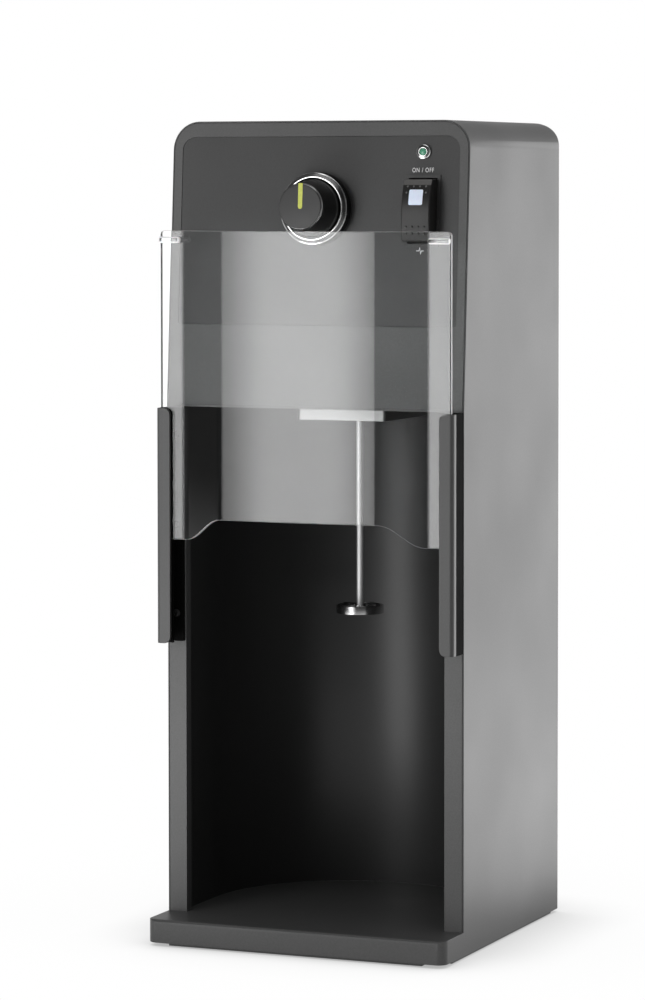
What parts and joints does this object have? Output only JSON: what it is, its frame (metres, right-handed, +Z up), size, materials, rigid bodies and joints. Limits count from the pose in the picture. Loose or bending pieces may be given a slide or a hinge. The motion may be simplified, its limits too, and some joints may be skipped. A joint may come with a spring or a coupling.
{
  "type": "countertop spindle mixer",
  "caption": "Tall countertop spindle mixer for milkshakes: leaning motor head over an open cup bay, with an agitator on a thin shaft and a clear splash shield that slides in two rails.",
  "frame": {"origin": "on the ground, under the centre of the footprint's bounding box", "axes": "+Z up, -Y towards the user who faces the cup bay, +X to that user's right"},
  "size_m": [0.227, 0.241, 0.586],
  "materials": {
    "graphite_enamel": "fine textured graphite enamel",
    "panel_enamel": "satin dark grey enamel",
    "black_enamel": "satin black enamel",
    "black_sheet": "satin black",
    "rear_enamel": "satin dark grey enamel",
    "screw_steel": "zinc plated",
    "pan_enamel": "satin dark grey",
    "foot_rubber": "matte black",
    "bright_steel": "bright stainless sheet",
    "seal_rubber": "matte black",
    "cast_alloy": "die-cast",
    "bearing_steel": "polished",
    "bracket_steel": "zinc plated",
    "motor_paint": "semi-matte grey",
    "lamination": "stacked laminations",
    "phenolic": "brown phenolic",
    "gasket_rubber": "matte black",
    "ring_chrome": "polished",
    "pot_metal": "plated",
    "nut_chrome": "plated",
    "switch_plastic": "satin black",
    "terminal_brass": "plain",
    "led_green": "translucent green",
    "rail_grey": "satin anodised grey",
    "rail_black": "black anodised",
    "dark_screw": "blackened",
    "board_green": "solder resist",
    "raw_aluminium": "plain",
    "part_plastic": "moulded",
    "cable_sleeve": "soft PVC",
    "inlet_plastic": "moulded black",
    "shaft_steel": "polished stainless",
    "coupling_steel": "turned",
    "commutator_copper": "turned copper",
    "fan_plastic": "moulded",
    "knob_black": "satin black",
    "pointer_paint": "bright yellow-green",
    "lens_white": "translucent cool white",
    "clear_acrylic": "clear polished acrylic",
    "pin_acrylic": "clear polished acrylic"
  },
  "bodies": {
    "housing": {"outer_shell": "graphite_enamel", "front_frame": "graphite_enamel", "control_panel": "panel_enamel", "alcove_liner": "black_enamel", "head_floor": "black_sheet", "rear_cover": "rear_enamel", "rear_cover_screws": "screw_steel", "base_pan": "pan_enamel", "base_pan_screws": "screw_steel", "rubber_feet": "foot_rubber", "drive_cover": "bright_steel", "drive_cover_screws": "screw_steel", "shaft_seal": "seal_rubber", "bearing_housing": "cast_alloy", "lower_bearing": "bearing_steel", "motor_bracket": "bracket_steel", "motor_rubber_mounts": "foot_rubber", "motor_mount_screws": "screw_steel", "motor_can": "motor_paint", "stator_core": "lamination", "motor_lower_bell": "cast_alloy", "motor_upper_bell": "cast_alloy", "brush_holders": "phenolic", "knob_gasket": "gasket_rubber", "knob_ring": "ring_chrome", "pot_body": "pot_metal", "pot_nut": "nut_chrome", "switch_housing": "switch_plastic", "switch_terminals": "terminal_brass", "led_bezel": "ring_chrome", "led_lens": "led_green", "led_nut": "nut_chrome", "rail_cover_left": "rail_grey", "rail_cover_right": "rail_grey", "rail_channel_left": "rail_black", "rail_channel_right": "rail_black", "rail_screws": "dark_screw", "control_board": "board_green", "board_standoffs": "terminal_brass", "heat_sink": "raw_aluminium", "board_parts": "part_plastic", "wiring_harness": "cable_sleeve", "power_inlet": "inlet_plastic", "inlet_pins": "terminal_brass"},
    "spindle": {"agitator_shaft": "shaft_steel", "agitator_disc": "shaft_steel", "agitator_nut": "shaft_steel", "shaft_coupling": "coupling_steel", "coupling_screws": "dark_screw", "rotor_shaft": "shaft_steel", "rotor_core": "lamination", "commutator": "commutator_copper", "cooling_fan": "fan_plastic"},
    "knob": {"speed_knob": "knob_black", "knob_pointer": "pointer_paint", "pot_shaft": "raw_aluminium"},
    "rocker": {"rocker_paddle": "switch_plastic", "rocker_lens": "lens_white"},
    "shield": {"splash_shield": "clear_acrylic", "shield_stop_pins": "pin_acrylic"}
  },
  "joints": [
    {"name": "spindle_spin", "type": "hinge", "parent": "housing", "child": "spindle", "pos_m": [0, 0.00345, 0.23], "axis": [0, 0, 1], "continuous": true},
    {"name": "knob_turn", "type": "hinge", "parent": "housing", "child": "knob", "pos_m": [0, -0.07446, 0.52363], "axis": [0, 0.9979, -0.0645], "range_deg": [-150, 150]},
    {"name": "rocker_tilt", "type": "hinge", "parent": "housing", "child": "rocker", "pos_m": [0.079, -0.07153, 0.52244], "axis": [1, 0, 0], "range_deg": [-9, 9]},
    {"name": "shield_slide", "type": "slide", "parent": "housing", "child": "shield", "axis": [0, 0, 1], "range_m": [-0.117, 0.085]}
  ]
}
